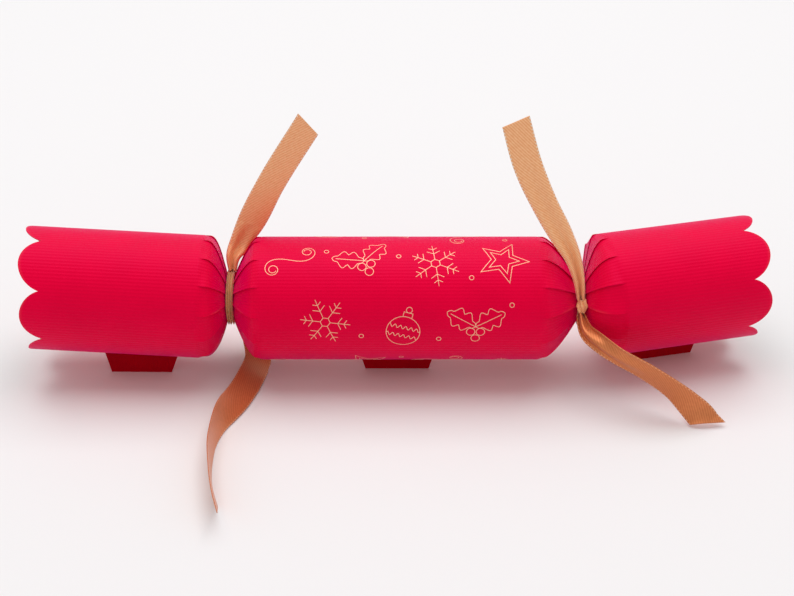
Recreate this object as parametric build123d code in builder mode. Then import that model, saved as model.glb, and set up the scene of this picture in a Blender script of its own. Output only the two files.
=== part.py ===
"""Christmas cracker of ribbed card: a barrel and two scalloped ends rolled from one sheet, tied at two pleated necks
with satin ribbon, with a snap through the middle and a hat, a motto and a spinning top in the barrel.

Millimetres, +Z up, +X along the cracker. The origin is on the table, under the middle of the barrel.
"""

import os
from math import asin, atan2, cos, degrees, hypot, radians, sin, tan

from build123d import *

os.makedirs("parts", exist_ok=True)

# Driving sizes of the card shell
tube_radius = 25.25  # outside of the rolled card
card = 0.4  # thickness of the card
layer_gap = 0.1  # between layers of card that lie on each other
neck_span = 143.0  # between the middles of the two tied necks
axis_height = 34.0  # barrel's axis above the table
left_barrel_shoulder = 10.5  # along the axis, from a neck's middle to the barrel's tube
right_barrel_shoulder = 15.0
end_shoulder = 10.0  # the same, to an end's tube
left_end_length = 82.3  # from a neck's middle to the scallop tips
right_end_length = 74.2
left_turn_back, left_tip_up = 1.0, 3.0  # how each end leans at its neck, degrees
right_turn_back, right_tip_up = 14.5, 0.2
left_seam_roll = 5.5  # left seam and its tab, degrees from straight down towards the front

# Pleated necks
panels = 13
panel_phase = 18.5  # first crease, degrees from straight down towards the front
neck_radius = 9.6
neck_hole = 7.4  # radius left open inside the gathered card
neck_gap = 2.0  # between the barrel's and the end's gathered edges, under the ribbon
throat = 0.5  # straight gathered length before the panels spread
tuck_at_neck = 1.1  # how far a panel stands over the next one at the neck
tuck_at_tube = 0.25
barrel_fullness = 1.45  # 1 for straight panels, 2 and more for panels that bulge out early
end_fullness = 2.2
panel_rings = 5  # sections from the throat to the tube

# Scalloped mouths
scallops = 7
left_scallop_phase = 8.6  # first cusp, degrees from the seam towards the front
right_scallop_phase = 14.1
scallop_depth = 8.2
left_mouth_lean = 4.0  # top of the mouth further out than a square cut, degrees
right_mouth_lean = 4.0

# Seam flap with its locking tab, which is also the foot
flap_width = 13.0  # round the tube
tab_root = 32.0
tab_tip = 24.4
barrel_tab_at = -3.4  # along the axis from the barrel's middle
left_tab_at = 37.0  # along the axis from the neck's middle
right_tab_at = 38.4

# Satin ribbon
ribbon_width = 11.4
ribbon = 0.3  # thickness
ribbon_steps = 4  # sections of a tail from one point of its route to the next
band_width = 2.8  # gathered turn round the neck
band_depth = 1.0
band_ridges = 3
knot_length = 5.4
knot_radius = 1.8
left_knot_at = 152.0  # degrees from the front, upwards
right_knot_at = 14.0

# Snap: two strips that overlap in the barrel, with a friction patch each and a sleeve round the overlap
snap_length = 228.0
snap_width = 8.0
snap_card = 0.5
snap_overlap = 30.0
snap_gap = 0.2  # between the two strips
snap_height = 4.6  # strips above the axis, towards the top of the neck holes
charge_length = 18.0
charge_width = 5.0
charge = 0.07
sleeve_length = 36.0
sleeve_wall = 0.15
sleeve_gap = 0.2

# Contents, lying along the bottom of the barrel
lane_gap = 0.3  # from the card, and from each other
hat_radius, hat_length, hat_pitch, hat_layer, hat_half_turns = 8.0, 90.0, 1.3, 0.7, 8
motto_radius, motto_length, motto_pitch, motto_layer, motto_half_turns = 3.5, 42.0, 0.9, 0.3, 5
top_radius, top_height = 9.0, 7.5
peg_radius, peg_length, peg_point = 1.5, 20.0, 2.2
peg_clearance = 0.02
hat_lane_at = 34.0  # degrees from straight down towards the front
top_lane_at = 40.0  # degrees from straight down towards the back

# Ribbon tails from the knot outwards: middle of the ribbon, the direction across its face, and its gathered width
right_upper_route = [
    ((70.9, -10.5, 39.8), (0.99, 0.0, -0.10), 3.0),
    ((69.4, -11.8, 50.0), (0.98, 0.11, 0.19), 4.6),
    ((66.3, -11.8, 60.3), (0.91, 0.21, 0.36), 6.8),
    ((61.8, -11.0, 68.9), (0.87, 0.22, 0.43), 9.2),
    ((55.0, -9.6, 81.5), (0.87, 0.20, 0.44), 10.2),
    ((47.7, -7.2, 97.8), (0.90, 0.18, 0.38), ribbon_width),
    ((42.6, -4.0, 115.1), (0.94, 0.16, 0.30), ribbon_width),
]
right_lower_route = [
    ((70.9, -12.1, 33.7), (0.98, 0.0, 0.20), 3.0),
    ((72.7, -19.5, 29.7), (0.66, -0.04, 0.75), 6.4),
    ((77.4, -26.0, 28.0), (0.38, -0.14, 0.91), 8.6),
    ((83.5, -30.6, 25.4), (0.20, -0.36, 0.91), 10.4),
    ((96.0, -35.6, 20.2), (0.27, -0.45, 0.85), ribbon_width),
    ((108.9, -39.3, 12.2), (0.51, -0.36, 0.78), ribbon_width),
    ((115.0, -41.5, 6.9), (0.72, -0.05, 0.69), ribbon_width),
    ((120.6, -43.0, 2.6), (0.90, 0.36, 0.12), ribbon_width),
]
left_upper_route = [
    ((-71.3, 8.6, 42.0), (1.0, 0.0, 0.0), 3.0),
    ((-70.9, 11.0, 47.4), (0.98, -0.09, -0.15), 5.8),
    ((-68.9, 14.4, 50.6), (0.89, 0.25, -0.38), 8.4),
    ((-64.0, 16.4, 59.3), (0.87, 0.15, -0.47), ribbon_width),
    ((-55.1, 16.4, 77.3), (0.87, 0.0, -0.50), ribbon_width),
    ((-38.9, 16.6, 104.6), (0.85, 0.0, -0.52), ribbon_width),
]
left_lower_route = [
    ((-71.5, 11.7, 36.6), (1.0, 0.0, 0.0), 3.0),
    ((-70.6, 17.0, 27.0), (1.0, 0.12, 0.0), 7.2),
    ((-65.6, 18.4, 13.0), (0.97, 0.20, 0.10), 10.6),
    ((-62.0, 5.0, 2.7), (0.92, 0.0, -0.38), ribbon_width),
    ((-63.8, -10.0, 2.8), (0.9, -0.15, -0.41), ribbon_width),
    ((-66.0, -20.0, 3.1), (0.87, -0.2, -0.45), ribbon_width),
    ((-68.7, -30.0, 3.9), (0.78, -0.2, -0.59), ribbon_width),
    ((-71.0, -37.4, 4.9), (0.62, -0.15, -0.77), ribbon_width),
    ((-73.2, -45.0, 5.7), (0.38, -0.1, -0.92), ribbon_width),
    ((-75.2, -57.2, 6.1), (0.17, 0.0, -0.98), ribbon_width),
    ((-75.6, -69.2, 6.1), (0.13, 0.0, -0.99), ribbon_width),
    ((-74.4, -83.2, 6.1), (0.09, 0.0, -0.99), ribbon_width),
    ((-71.3, -99.2, 6.1), (0.22, 0.0, -0.97), ribbon_width),
    ((-69.4, -106.7, 6.1), (0.28, 0.0, -0.96), ribbon_width),
]

# Worked out from the driving sizes
neck_x = neck_span / 2
barrel_left = left_barrel_shoulder - neck_x
barrel_right = neck_x - right_barrel_shoulder
inside_radius = tube_radius - card
flap_outside = inside_radius - layer_gap
flap_inside = flap_outside - card
slit_width = card + 2 * layer_gap
band_inside = neck_radius + layer_gap
panel_step = 360 / panels


def tube_plane(x, side, turn_back=0.0, tip_up=0.0, roll=0.0):
    """Plane across a tube: its normal runs out along the axis on that side (+1 right, -1 left), its x points down.

    A roll turns its x from straight down towards the front, and the seam with it."""
    turn, tip = radians(turn_back), radians(tip_up)
    outwards = (side * cos(turn) * cos(tip), sin(turn) * cos(tip), sin(tip))
    down = (0, -sin(radians(roll)), -cos(radians(roll)))
    return Plane(origin=(x, 0, axis_height), x_dir=down, z_dir=outwards)


def polar(radius, angle):
    """Point of a tube's plane at an angle in degrees from straight down."""
    return (radius * cos(radians(angle)), radius * sin(radians(angle)))


def pleat_ring(plane, radius, tuck, roundness, hand):
    """Face of the gathered card: each panel runs from its raised edge to the edge tucked under the next panel.

    The panel's middle lies between its chord (roundness 0) and the full circle (roundness 1)."""
    mean = radius - tuck / 2
    chord = mean * cos(radians(panel_step / 2))
    bulge = chord + roundness * (mean - chord)
    with BuildSketch(plane) as ring:
        with BuildLine():
            for i in range(panels):
                start = hand * (panel_phase + i * panel_step)
                end = start + hand * panel_step
                tucked = polar(radius - tuck, end)
                ThreePointArc(polar(radius, start), polar(bulge, (start + end) / 2), tucked)
                Line(tucked, polar(radius, end))
        make_face()
    return ring.sketch


def disc(plane, radius):
    """Round face."""
    with BuildSketch(plane) as round_face:
        Circle(radius)
    return round_face.sketch


def panel_radius(share, fullness):
    """Radius of the pleats at a share of the way from the neck to the tube, bulging with fullness."""
    return tube_radius - (tube_radius - neck_radius) * (1 - share) ** fullness


def pleat_sections(neck, tube):
    """(plane, share) of each ring: two across the straight throat, the rest swinging round to the tube's plane."""
    start = neck.offset(neck_gap / 2)
    spread = neck.offset(neck_gap / 2 + throat)
    sections = [(start, 0.0), (spread, 0.0)]
    for i in range(1, panel_rings + 1):
        share = i / panel_rings
        origin = spread.origin + (tube.origin - spread.origin) * share
        normal = neck.z_dir * (1 - share) + tube.z_dir * share
        sections.append((Plane(origin=origin, x_dir=(0, 0, -1), z_dir=normal), share))
    return sections


def pleats(neck, tube, fullness, hand):
    """Pleated shoulder from the tied neck to a tube: a loft through the pleat rings, hollowed by plain rings.

    The plain rings lie one card further towards the tube, so that the panels keep their thickness where they are
    steep."""
    rings, holes = [], [disc(neck, neck_hole)]
    for plane, share in pleat_sections(neck, tube):
        radius = panel_radius(share, fullness)
        tuck = tuck_at_neck + (tuck_at_tube - tuck_at_neck) * share
        wall = (neck_radius - neck_hole) * (1 - share) + card * share
        rings.append(pleat_ring(plane, radius, tuck, share, hand))
        holes.append(disc(plane.offset(card), radius - wall))
    loft(rings, ruled=True)
    loft(holes, ruled=True, mode=Mode.SUBTRACT)


def tube_wall(plane, length):
    """Plain rolled card from a plane outwards."""
    with BuildSketch(plane) as section:
        Circle(tube_radius)
        Circle(inside_radius, mode=Mode.SUBTRACT)
    extrude(section.sketch, amount=length)


def slit(plane, at):
    """Slit along the seam that the locking tab comes out through."""
    with BuildSketch(plane.offset(at - tab_root / 2 - layer_gap)) as opening:
        with Locations((tube_radius, 0)):
            Rectangle(4 * card, slit_width)
    extrude(opening.sketch, amount=tab_root + 2 * layer_gap, mode=Mode.SUBTRACT)


def scalloped_tube(plane, start, length, tab_at, phase, lean, hand):
    """End tube from its shoulder to the scallop tips, with the scallops cut as round lobes pressed through the wall.

    The lobes stand round a mouth plane that leans from the tube's own, so that its top stands further out."""
    root = length - scallop_depth
    half = 180 / scallops
    lobe_half = tube_radius * sin(radians(half))
    skew = tube_radius * tan(radians(lean)) + 2 * card
    mouth = Plane(
        origin=plane.offset(root).origin,
        x_dir=plane.x_dir,
        z_dir=plane.z_dir + plane.x_dir * tan(radians(lean)),
    )
    for i in range(scallops):
        angle = hand * (phase + (i + 0.5) * 2 * half)
        outwards = mouth.x_dir * cos(radians(angle)) + mouth.y_dir * sin(radians(angle))
        facing = Plane(origin=mouth.origin, x_dir=mouth.z_dir, z_dir=outwards)
        with BuildSketch(facing) as lobe:
            with BuildLine():
                ThreePointArc((0, -lobe_half), (scallop_depth, 0), (0, lobe_half))
                Polyline((0, lobe_half), (-2 * skew, lobe_half), (-2 * skew, -lobe_half), (0, -lobe_half))
            make_face()
        extrude(lobe.sketch, amount=tube_radius + 2 * card)
    with BuildSketch(plane.offset(root - skew - card)) as wall:
        Circle(tube_radius)
        Circle(inside_radius, mode=Mode.SUBTRACT)
    extrude(wall.sketch, amount=scallop_depth + 2 * skew + 2 * card, mode=Mode.INTERSECT)
    tube_wall(plane.offset(start), root - skew - start)
    slit(plane, tab_at)


def seam_flap(plane, start, end, tab_at, hand):
    """Inner edge of the sheet, lying against the wall beside the seam, with its tab folded out to the table."""
    edge = degrees(asin(card / 2 / flap_inside))
    turn = degrees(flap_width / flap_inside)
    first, last = -hand * -edge, -hand * turn
    with BuildSketch(plane.offset(start)) as flap:
        with BuildLine():
            ThreePointArc(
                polar(flap_outside, first),
                polar(flap_outside, (first + last) / 2),
                polar(flap_outside, last),
            )
            Line(polar(flap_outside, last), polar(flap_inside, last))
            ThreePointArc(
                polar(flap_inside, last),
                polar(flap_inside, (first + last) / 2),
                polar(flap_inside, first),
            )
            Line(polar(flap_inside, first), polar(flap_outside, first))
        make_face()
    extrude(flap.sketch, amount=end - start)
    reach = axis_height + card * 8
    upright = Plane(origin=plane.offset(tab_at).origin, x_dir=plane.x_dir, z_dir=plane.y_dir)
    with BuildSketch(upright) as tab:
        with BuildLine():
            Polyline(
                (flap_inside, -tab_root / 2),
                (tube_radius, -tab_root / 2),
                (reach, -tab_tip / 2),
                (reach, tab_tip / 2),
                (tube_radius, tab_root / 2),
                (flap_inside, tab_root / 2),
                close=True,
            )
        make_face()
    extrude(tab.sketch, amount=card / 2, both=True)
    split(bisect_by=Plane.XY, keep=Keep.TOP)


def neck_direction(angle):
    """Unit direction away from the axis at a neck, at an angle in degrees from the front upwards."""
    return Vector(0, -cos(radians(angle)), sin(radians(angle)))


def ribbon_band(x, knot_at):
    """Gathered turn of ribbon with its lengthwise folds, open where the knot sits."""
    opening = 2 * degrees(asin((knot_length / 2 + layer_gap) / (band_inside + band_depth / 2)))
    start = neck_direction(knot_at + opening / 2)
    across = Vector(1, 0, 0)
    ridge = band_width / band_ridges
    with BuildSketch(Plane(origin=(x, 0, axis_height), x_dir=across, z_dir=across.cross(start))) as folds:
        with BuildLine():
            left = -band_width / 2
            for i in range(band_ridges):
                low = band_inside + 0.6 * band_depth
                ThreePointArc(
                    (left + i * ridge, low),
                    (left + (i + 0.5) * ridge, band_inside + band_depth),
                    (left + (i + 1) * ridge, low),
                )
            Polyline(
                (-left, band_inside + 0.6 * band_depth),
                (-left, band_inside),
                (left, band_inside),
                (left, band_inside + 0.6 * band_depth),
            )
        make_face()
    revolve(folds.sketch, axis=Axis((x, 0, axis_height), (-1, 0, 0)), revolution_arc=360 - opening)


def ribbon_knot(x, knot_at):
    """Knot drawn down on the neck in the band's opening: a bead along the ribbon, fullest in its middle."""
    outwards = neck_direction(knot_at)
    along = neck_direction(knot_at + 90)
    middle = Vector(x, 0, axis_height) + outwards * (band_inside + knot_radius)
    half, end = knot_length / 2, 0.55 * knot_radius
    with BuildSketch(Plane(origin=middle, x_dir=along, z_dir=along.cross(Vector(1, 0, 0)))) as bead:
        with BuildLine():
            ThreePointArc((-half, end), (0, knot_radius), (half, end))
            Polyline((half, end), (half, 0), (-half, 0), (-half, end))
        make_face()
    revolve(bead.sketch, axis=Axis(middle, along))


def slopes(values, spans):
    """Slope of a smooth curve at each of its points, from the spans on both sides weighed by nearness."""
    steps = [(values[i + 1] - values[i]) * (1 / spans[i]) for i in range(len(spans))]
    inner = [
        (steps[i - 1] * spans[i] + steps[i] * spans[i - 1]) * (1 / (spans[i - 1] + spans[i]))
        for i in range(1, len(spans))
    ]
    return [steps[0], *inner, steps[-1]]


def smooth(values, spans, steps):
    """Values of a smooth curve through the given ones, with that many steps from each to the next."""
    slope = slopes(values, spans)
    curve = []
    for i, span in enumerate(spans):
        for k in range(steps):
            t = k / steps
            start = values[i] * (1 + 2 * t) + slope[i] * (span * t)
            end = values[i + 1] * (3 - 2 * t) + slope[i + 1] * (span * (t - 1))
            curve.append(start * (1 - t) ** 2 + end * t**2)
    return [*curve, values[-1]]


def ribbon_tail(route):
    """Free end of a ribbon: a ruled loft through flat sections set square to a smooth run along its route."""
    points = [Vector(*point) for point, _, _ in route]
    spans = [(points[i + 1] - points[i]).length for i in range(len(points) - 1)]
    middles = smooth(points, spans, ribbon_steps)
    acrosses = smooth([Vector(*across) for _, across, _ in route], spans, ribbon_steps)
    widths = smooth([width for _, _, width in route], spans, ribbon_steps)
    sections = []
    for i, (middle, across, width) in enumerate(zip(middles, acrosses, widths)):
        run = middles[min(i + 1, len(middles) - 1)] - middles[max(i - 1, 0)]
        with BuildSketch(Plane(origin=middle, x_dir=across, z_dir=run)) as section:
            Rectangle(width, ribbon)
        sections.append(section.sketch)
    loft(sections, ruled=True)


def rolled_paper(plane, radius, pitch, layer, half_turns, length):
    """Rolled sheet: a spiral of half circles, each half turn tighter than the one before by half the pitch."""
    with BuildSketch(plane) as spiral:
        with BuildLine():
            for outside in (radius, radius - layer):
                for i in range(half_turns):
                    near = outside - i * pitch / 2
                    far = outside - (i + 1) * pitch / 2
                    sign = 1 if i % 2 == 0 else -1
                    middle = (near - far) / 2 * sign
                    ThreePointArc((sign * near, 0), (middle, sign * (near + far) / 2), (-sign * far, 0))
            last = radius - half_turns * pitch / 2
            sign = 1 if half_turns % 2 == 0 else -1
            Line((radius, 0), (radius - layer, 0))
            Line((sign * last, 0), (sign * (last - layer), 0))
        make_face()
    extrude(spiral.sketch, amount=length / 2, both=True)


left_neck = tube_plane(-neck_x, -1)
right_neck = tube_plane(neck_x, 1)
left_axis = tube_plane(-neck_x, -1, left_turn_back, left_tip_up, left_seam_roll)
right_axis = tube_plane(neck_x, 1, right_turn_back, right_tip_up)
middle = tube_plane(0, 1)

# Barrel: the middle tube with a pleated shoulder at each end
with BuildPart() as barrel_card:
    tube_wall(middle.offset(barrel_left), barrel_right - barrel_left)
    slit(middle, barrel_tab_at)
    pleats(tube_plane(neck_x, -1), tube_plane(barrel_right, -1), barrel_fullness, 1)
    pleats(tube_plane(-neck_x, 1), tube_plane(barrel_left, 1), barrel_fullness, -1)
barrel_card.part.label = "barrel_card"
export_step(barrel_card.part, "parts/barrel_card.step")

with BuildPart() as barrel_flap:
    seam_flap(middle, barrel_left + card, barrel_right - card, barrel_tab_at, -1)
barrel_flap.part.label = "barrel_flap"
export_step(barrel_flap.part, "parts/barrel_flap.step")

# Left end: scalloped tube, seam flap with its foot, and the pleats down to the neck
with BuildPart() as left_end_card:
    scalloped_tube(
        left_axis, end_shoulder, left_end_length, left_tab_at, left_scallop_phase, left_mouth_lean, 1
    )
left_end_card.part.label = "left_end_card"
export_step(left_end_card.part, "parts/left_end_card.step")

with BuildPart() as left_end_flap:
    seam_flap(left_axis, end_shoulder + card, left_end_length - 1.5 * scallop_depth, left_tab_at, 1)
left_end_flap.part.label = "left_end_flap"
export_step(left_end_flap.part, "parts/left_end_flap.step")

with BuildPart() as left_neck_pleats:
    pleats(left_neck, left_axis.offset(end_shoulder), end_fullness, 1)
left_neck_pleats.part.label = "left_neck_pleats"
export_step(left_neck_pleats.part, "parts/left_neck_pleats.step")

# Right end: the same pieces, leaning back at its neck
with BuildPart() as right_end_card:
    scalloped_tube(
        right_axis, end_shoulder, right_end_length, right_tab_at, right_scallop_phase, right_mouth_lean, -1
    )
right_end_card.part.label = "right_end_card"
export_step(right_end_card.part, "parts/right_end_card.step")

with BuildPart() as right_end_flap:
    seam_flap(right_axis, end_shoulder + card, right_end_length - 1.5 * scallop_depth, right_tab_at, -1)
right_end_flap.part.label = "right_end_flap"
export_step(right_end_flap.part, "parts/right_end_flap.step")

with BuildPart() as right_neck_pleats:
    pleats(right_neck, right_axis.offset(end_shoulder), end_fullness, -1)
right_neck_pleats.part.label = "right_neck_pleats"
export_step(right_neck_pleats.part, "parts/right_neck_pleats.step")

# Left ribbon, knotted at the back of its neck
with BuildPart() as left_ribbon_band:
    ribbon_band(-neck_x, left_knot_at)
left_ribbon_band.part.label = "left_ribbon_band"
export_step(left_ribbon_band.part, "parts/left_ribbon_band.step")

with BuildPart() as left_ribbon_knot:
    ribbon_knot(-neck_x, left_knot_at)
left_ribbon_knot.part.label = "left_ribbon_knot"
export_step(left_ribbon_knot.part, "parts/left_ribbon_knot.step")

with BuildPart() as left_ribbon_upper_tail:
    ribbon_tail(left_upper_route)
left_ribbon_upper_tail.part.label = "left_ribbon_upper_tail"
export_step(left_ribbon_upper_tail.part, "parts/left_ribbon_upper_tail.step")

with BuildPart() as left_ribbon_lower_tail:
    ribbon_tail(left_lower_route)
left_ribbon_lower_tail.part.label = "left_ribbon_lower_tail"
export_step(left_ribbon_lower_tail.part, "parts/left_ribbon_lower_tail.step")

# Right ribbon, knotted at the front of its neck
with BuildPart() as right_ribbon_band:
    ribbon_band(neck_x, right_knot_at)
right_ribbon_band.part.label = "right_ribbon_band"
export_step(right_ribbon_band.part, "parts/right_ribbon_band.step")

with BuildPart() as right_ribbon_knot:
    ribbon_knot(neck_x, right_knot_at)
right_ribbon_knot.part.label = "right_ribbon_knot"
export_step(right_ribbon_knot.part, "parts/right_ribbon_knot.step")

with BuildPart() as right_ribbon_upper_tail:
    ribbon_tail(right_upper_route)
right_ribbon_upper_tail.part.label = "right_ribbon_upper_tail"
export_step(right_ribbon_upper_tail.part, "parts/right_ribbon_upper_tail.step")

with BuildPart() as right_ribbon_lower_tail:
    ribbon_tail(right_lower_route)
right_ribbon_lower_tail.part.label = "right_ribbon_lower_tail"
export_step(right_ribbon_lower_tail.part, "parts/right_ribbon_lower_tail.step")

# Snap: the left strip lies over the right one, with a friction patch on each facing side
strip_length = (snap_length + snap_overlap) / 2
strip_shift = (snap_length - strip_length) / 2
strip_rise = (snap_gap + snap_card) / 2
snap_z = axis_height + snap_height
charge_x = snap_overlap / 2 - charge_length / 2
charge_rise = snap_gap / 2 - charge

with BuildPart() as left_snap_strip:
    with Locations((-strip_shift, 0, snap_z + strip_rise)):
        Box(strip_length, snap_width, snap_card)
left_snap_strip.part.label = "left_snap_strip"
export_step(left_snap_strip.part, "parts/left_snap_strip.step")

with BuildPart() as right_snap_strip:
    with Locations((strip_shift, 0, snap_z - strip_rise)):
        Box(strip_length, snap_width, snap_card)
right_snap_strip.part.label = "right_snap_strip"
export_step(right_snap_strip.part, "parts/right_snap_strip.step")

with BuildPart() as left_snap_charge:
    with BuildSketch(Plane.XY.offset(snap_z + charge_rise)):
        with Locations((charge_x, 0)):
            SlotOverall(charge_length, charge_width)
    extrude(amount=charge)
left_snap_charge.part.label = "left_snap_charge"
export_step(left_snap_charge.part, "parts/left_snap_charge.step")

with BuildPart() as right_snap_charge:
    with BuildSketch(Plane.XY.offset(snap_z - charge_rise)):
        with Locations((-charge_x, 0)):
            SlotOverall(charge_length, charge_width)
    extrude(amount=-charge)
right_snap_charge.part.label = "right_snap_charge"
export_step(right_snap_charge.part, "parts/right_snap_charge.step")

sleeve_width = snap_width + 2 * sleeve_gap
sleeve_height = 2 * snap_card + snap_gap + 2 * sleeve_gap
with BuildPart() as snap_band:
    with BuildSketch(Plane.YZ.offset(-sleeve_length / 2)):
        with Locations((0, snap_z)):
            Rectangle(sleeve_width + 2 * sleeve_wall, sleeve_height + 2 * sleeve_wall)
            Rectangle(sleeve_width, sleeve_height, mode=Mode.SUBTRACT)
    extrude(amount=sleeve_length)
snap_band.part.label = "snap_band"
export_step(snap_band.part, "parts/snap_band.step")

# Contents: the hat and the top lie on the card, and the motto lies in the valley between them
hat_reach = tube_radius - card - lane_gap - hat_radius
top_reach = flap_inside - lane_gap - top_radius
hat_lane = polar(hat_reach, -hat_lane_at)
top_lane = polar(top_reach, top_lane_at)
to_hat = hat_radius + motto_radius + lane_gap
to_top = top_radius + motto_radius + lane_gap
lanes_apart = hypot(top_lane[0] - hat_lane[0], top_lane[1] - hat_lane[1])
along_lanes = (lanes_apart**2 + to_hat**2 - to_top**2) / (2 * lanes_apart)
above_lanes = (to_hat**2 - along_lanes**2) ** 0.5
lanes_lean = atan2(top_lane[1] - hat_lane[1], top_lane[0] - hat_lane[0])
motto_lane = (
    hat_lane[0] + along_lanes * cos(lanes_lean) - above_lanes * sin(lanes_lean),
    hat_lane[1] + along_lanes * sin(lanes_lean) + above_lanes * cos(lanes_lean),
)


def lane_plane(lane):
    """Plane across the barrel at a lane's middle, its x axis pointing straight at the card outside."""
    at = middle.from_local_coords((*lane, 0))
    return Plane(origin=at, x_dir=at - middle.origin, z_dir=middle.z_dir)


with BuildPart() as paper_hat:
    rolled_paper(lane_plane(hat_lane), hat_radius, hat_pitch, hat_layer, hat_half_turns, hat_length)
paper_hat.part.label = "paper_hat"
export_step(paper_hat.part, "parts/paper_hat.step")

with BuildPart() as motto_slip:
    rolled_paper(
        lane_plane(motto_lane), motto_radius, motto_pitch, motto_layer, motto_half_turns, motto_length
    )
motto_slip.part.label = "motto_slip"
export_step(motto_slip.part, "parts/motto_slip.step")

# Spinning top on its side: a turned disc on a peg that is pointed at one end
top_frame = lane_plane(top_lane)
top_side = Plane(origin=top_frame.origin, x_dir=top_frame.z_dir, z_dir=top_frame.x_dir)
top_axis = Axis(top_frame.origin, top_frame.z_dir)
with BuildPart() as gift_top_disc:
    with BuildSketch(top_side):
        with BuildLine():
            hole = peg_radius + peg_clearance
            half = top_height / 2
            Line((-half, hole), (-half, 2 * peg_radius))
            ThreePointArc((-half, 2 * peg_radius), (-0.2 * half, 0.82 * top_radius), (0.3 * half, top_radius))
            ThreePointArc((0.3 * half, top_radius), (half, 0.8 * top_radius), (0.9 * half, 2.4 * peg_radius))
            Polyline((0.9 * half, 2.4 * peg_radius), (0.9 * half, hole), (-half, hole))
        make_face()
    revolve(axis=top_axis)
gift_top_disc.part.label = "gift_top_disc"
export_step(gift_top_disc.part, "parts/gift_top_disc.step")

with BuildPart() as gift_top_peg:
    with BuildSketch(top_side):
        with BuildLine():
            half = peg_length / 2
            Polyline(
                (-half, 0),
                (-half + peg_point, peg_radius),
                (half - 0.4, peg_radius),
                (half, peg_radius - 0.4),
                (half, 0),
                close=True,
            )
        make_face()
    revolve(axis=top_axis)
gift_top_peg.part.label = "gift_top_peg"
export_step(gift_top_peg.part, "parts/gift_top_peg.step")
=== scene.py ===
"""Looks of a red card cracker with scalloped ends, tied at two pleated necks with copper satin ribbon.

Shapes are worked out in millimetres and put into the meshes in metres. Angles run round a tube from straight down
towards the front and on over the top.
"""

import bmesh
import bpy
import numpy as np
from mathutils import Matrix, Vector


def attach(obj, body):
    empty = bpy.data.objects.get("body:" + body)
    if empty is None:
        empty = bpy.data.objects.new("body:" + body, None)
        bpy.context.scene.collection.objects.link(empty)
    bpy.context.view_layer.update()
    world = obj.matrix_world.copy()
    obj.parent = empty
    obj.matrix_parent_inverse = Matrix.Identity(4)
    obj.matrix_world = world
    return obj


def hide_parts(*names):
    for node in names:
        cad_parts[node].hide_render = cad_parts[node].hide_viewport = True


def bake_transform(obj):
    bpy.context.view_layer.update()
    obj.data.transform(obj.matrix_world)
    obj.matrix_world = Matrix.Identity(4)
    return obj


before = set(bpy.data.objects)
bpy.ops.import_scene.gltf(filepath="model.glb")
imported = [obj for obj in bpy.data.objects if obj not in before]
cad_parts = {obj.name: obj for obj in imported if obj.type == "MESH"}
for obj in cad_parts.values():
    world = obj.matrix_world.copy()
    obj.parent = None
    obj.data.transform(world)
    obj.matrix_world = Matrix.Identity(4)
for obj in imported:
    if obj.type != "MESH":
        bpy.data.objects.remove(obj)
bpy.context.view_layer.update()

# Card: one sheet of stiff paper, dyed red and embossed with fine ribs along the tubes and a closer grain across
# them. Its reverse is printed gold. The raised edges of a few folds and the cut edges are drawn paler.
card, worn_edge = 0.4, 0.05  # thickness, and share of colour lost on cut edges


def node(tree, kind, inputs=None, **settings):
    """New shader node with its settings, its inputs being plain values or the outputs that feed them."""
    made = tree.nodes.new("ShaderNode" + kind)
    for key, value in settings.items():
        setattr(made, key, value)
    for key, value in (inputs or {}).items():
        if isinstance(value, bpy.types.NodeSocket):
            tree.links.new(value, made.inputs[key])
        else:
            made.inputs[key].default_value = value
    return made


def calc(tree, operation, first, second=0.0, third=0.0):
    """Output of one Math node."""
    return node(tree, "Math", {0: first, 1: second, 2: third}, operation=operation).outputs[0]


def mixed(tree, share, first, second):
    """Output of one colour Mix node."""
    return node(tree, "Mix", {0: share, 6: first, 7: second}, data_type="RGBA").outputs[2]


def effect(name, inputs, outputs):
    """Empty node group with its input and output sockets, and its two ends."""
    group = bpy.data.node_groups.new(name, "ShaderNodeTree")
    for label in inputs:
        group.interface.new_socket(label, in_out="INPUT", socket_type="NodeSocketFloat")
    for label in outputs:
        group.interface.new_socket(label, in_out="OUTPUT", socket_type="NodeSocketFloat")
    return group, group.nodes.new("NodeGroupInput").outputs, group.nodes.new("NodeGroupOutput").inputs


def finish_of(name, plain):
    """New material: itself, its node tree and its Principled shader, with plain values on the shader's sockets."""
    material = bpy.data.materials.new(name)
    material.use_nodes = True
    surface = material.node_tree.nodes["Principled BSDF"]
    for key, value in plain.items():
        surface.inputs[key].default_value = value
    return material, material.node_tree, surface


def relief(tree, surface, height, depth):
    """Bump of that depth in millimetres on a shader."""
    bump = node(tree, "Bump", {"Height": height, "Distance": depth / 1000, "Strength": 1.0})
    tree.links.new(bump.outputs[0], surface.inputs["Normal"])


def flat_place(tree):
    """Millimetres round and along a piece, read from its UV map, which is in decimetres."""
    apart = node(tree, "SeparateXYZ", {0: node(tree, "UVMap", uv_map="sheet").outputs[0]})
    return [calc(tree, "MULTIPLY", apart.outputs[i], 100.0) for i in (0, 1)]


def dress(material, *names):
    """Give nodes of the frame a material in place of their own."""
    for name in names:
        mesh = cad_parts[name].data
        mesh.materials.clear()
        mesh.materials.append(material)


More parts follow.
